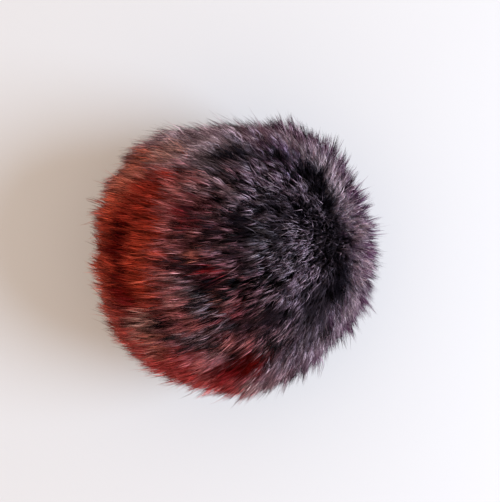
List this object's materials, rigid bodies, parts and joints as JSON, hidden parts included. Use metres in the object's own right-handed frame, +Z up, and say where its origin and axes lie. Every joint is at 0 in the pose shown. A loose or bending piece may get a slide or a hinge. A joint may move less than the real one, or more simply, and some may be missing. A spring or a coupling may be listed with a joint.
{
  "type": "fur pom pom",
  "caption": "Round ball of long dyed fur, a trim for hats, bags and key rings, resting on its drawn-up edge, with its hair combed to one side.",
  "frame": {"origin": "on the surface that the ball lies on, under the middle of its bounding box", "axes": "+Z up, through the middle of the disc of fur; +X opposite to the way that its hair is combed; +Y completes the frame, and is the picture's up direction seen from above"},
  "size_m": [0.115, 0.111, 0.102],
  "materials": {
    "dyed_fur": "long soft pile, mottled black, grey mauve and rust red"
  },
  "bodies": {
    "root": {"fur_ball": "dyed_fur"}
  },
  "joints": []
}
